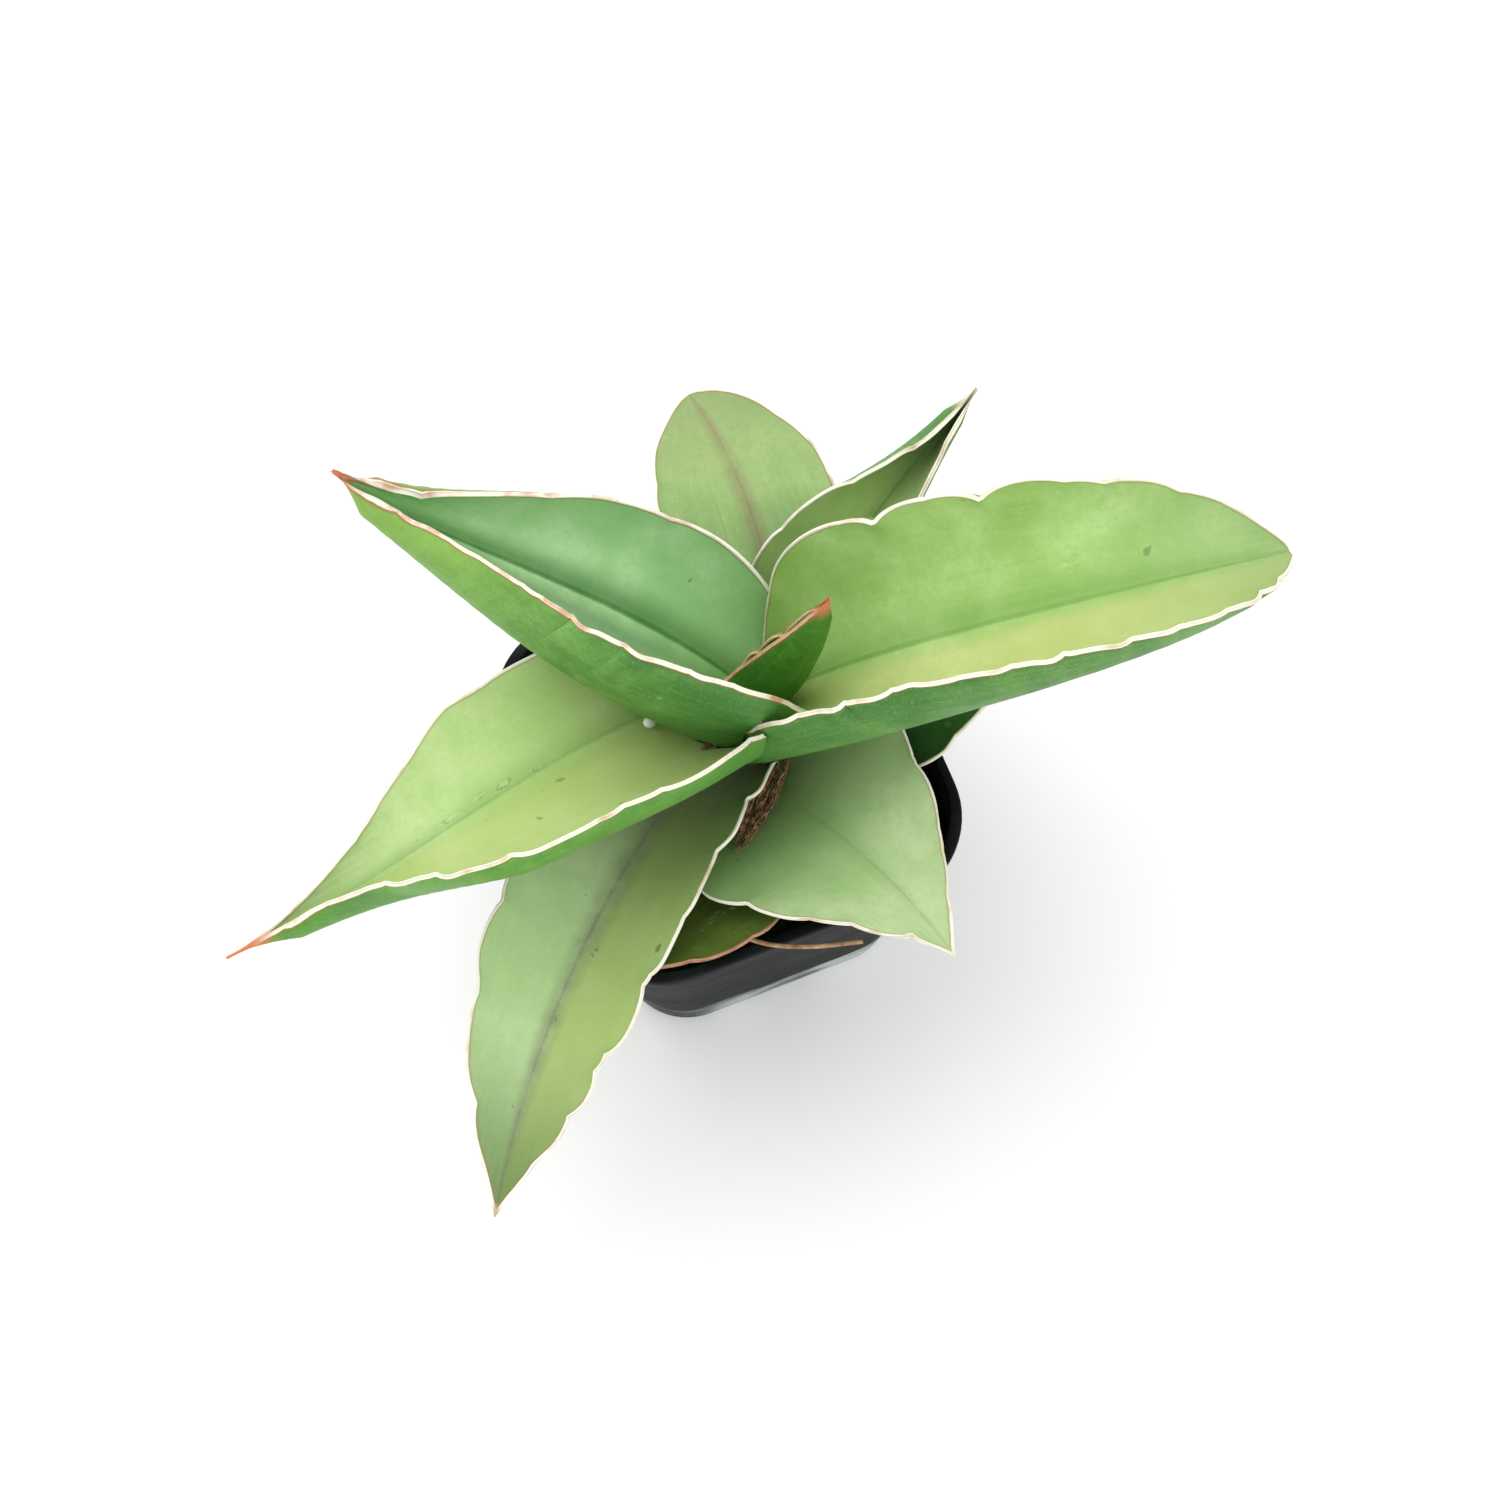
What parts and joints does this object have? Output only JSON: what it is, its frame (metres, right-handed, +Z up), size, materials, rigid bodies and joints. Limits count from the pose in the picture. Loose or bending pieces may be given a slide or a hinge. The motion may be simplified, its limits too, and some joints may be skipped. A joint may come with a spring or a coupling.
{
  "type": "potted snake plant",
  "caption": "Small snake plant rosette with broad channelled, pale-edged leaves in a rounded-square black nursery pot.",
  "frame": {"origin": "middle of the pot's flat underside, on the surface it stands on", "axes": "+Z up; +X towards the largest leaf; -Z out of the underside"},
  "size_m": [0.219, 0.1812, 0.1649],
  "materials": {
    "leaf": "waxy green leaf with a pale horny edge",
    "leaf_dark": "waxy dark green leaf with a pale horny edge",
    "leaf_old": "dull olive old leaf with a brown edge",
    "dry_fibre": "dry brown plant fibre",
    "stem": "pale brown fibrous stem",
    "perlite": "chalky white expanded mineral grain",
    "pot_plastic": "satin black moulded plastic",
    "potting_mix": "dark crumbly potting mix"
  },
  "bodies": {
    "root": {"leaf_heart": "leaf_dark", "leaf_right_large": "leaf", "leaf_left_upper": "leaf", "leaf_left_lower": "leaf", "leaf_back_right": "leaf", "leaf_back": "leaf", "leaf_front": "leaf", "leaf_front_right": "leaf", "leaf_under_right": "leaf_dark", "leaf_old_low": "leaf_old", "dry_scale": "dry_fibre", "dry_sheath": "dry_fibre", "crown_stem": "stem", "perlite_grain": "perlite", "dry_strand": "dry_fibre", "nursery_pot": "pot_plastic", "potting_mix": "potting_mix"}
  },
  "joints": []
}
